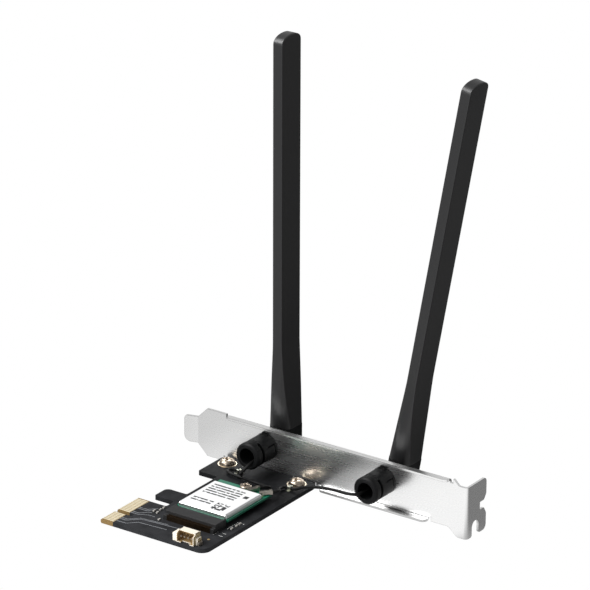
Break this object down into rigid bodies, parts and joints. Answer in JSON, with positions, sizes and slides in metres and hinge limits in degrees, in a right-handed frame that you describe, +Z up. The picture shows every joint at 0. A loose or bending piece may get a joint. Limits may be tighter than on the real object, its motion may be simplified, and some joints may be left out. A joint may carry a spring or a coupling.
{
  "type": "wireless network expansion card",
  "caption": "Slot expansion card for wireless networking: radio module in a socket, folded slot bracket, swivelling and tilting blade antennas wired with thin coax.",
  "frame": {"origin": "key notch centre on the mating edge of the board, at the board's underside", "axes": "+X from the mating edge along the bracket to its screw tab, +Y out through the bracket, +Z up from the component side"},
  "size_m": [0.1198, 0.0856, 0.1641],
  "materials": {
    "bracket": "polished nickel plate",
    "board": "matte black solder mask",
    "gold": "gold flash",
    "tin": "tinned",
    "steel": "nickel plated",
    "black_moulding": "satin black moulding",
    "contact": "bronze",
    "green_board": "green solder mask",
    "shield": "nickel silver",
    "label": "plain white label",
    "chip": "moulded package",
    "ivory": "ivory moulding",
    "ceramic": "ceramic chip",
    "jacket": "black jacket"
  },
  "bodies": {
    "card": {"bracket": "bracket", "main_board": "board", "edge_contacts": "gold", "board_screws": "steel", "m2_socket": "black_moulding", "m2_socket_contacts": "contact", "wifi_module_board": "green_board", "wifi_module_shield": "shield", "radio_chip": "chip", "module_label": "label", "module_standoff": "tin", "module_screw": "steel", "header_housing": "ivory", "header_pins": "tin", "header_solder_tabs": "tin", "chip_capacitors": "ceramic", "coax_receptacles": "gold", "cable_clips": "tin", "left_coax_plug": "gold", "right_coax_plug": "gold", "left_pigtail": "jacket", "right_pigtail": "jacket", "left_bushing": "black_moulding", "right_bushing": "black_moulding"},
    "left_swivel_joint": {"left_swivel": "black_moulding", "left_lock_collar": "black_moulding", "left_hinge_pin": "steel"},
    "right_swivel_joint": {"right_swivel": "black_moulding", "right_lock_collar": "black_moulding", "right_hinge_pin": "steel"},
    "left_antenna": {"left_hinge_fork": "black_moulding", "left_antenna_sleeve": "black_moulding", "left_radiator": "green_board"},
    "right_antenna": {"right_hinge_fork": "black_moulding", "right_antenna_sleeve": "black_moulding", "right_radiator": "green_board"}
  },
  "joints": [
    {"name": "left_swivel", "type": "hinge", "parent": "card", "child": "left_swivel_joint", "pos_m": [0.0221, 0.07126, 0.01011], "axis": [0, 1, 0], "range_deg": [-90, 8]},
    {"name": "left_tilt", "type": "hinge", "parent": "left_swivel_joint", "child": "left_antenna", "pos_m": [0.0221, 0.07126, 0.01011], "axis": [-1, 0, 0], "range_deg": [0, 90]},
    {"name": "right_swivel", "type": "hinge", "parent": "card", "child": "right_swivel_joint", "pos_m": [0.07228, 0.07126, 0.01011], "axis": [0, 1, 0], "range_deg": [-18, 62]},
    {"name": "right_tilt", "type": "hinge", "parent": "right_swivel_joint", "child": "right_antenna", "pos_m": [0.07228, 0.07126, 0.01011], "axis": [-0.9842, 0, 0.1771], "range_deg": [0, 90]}
  ]
}
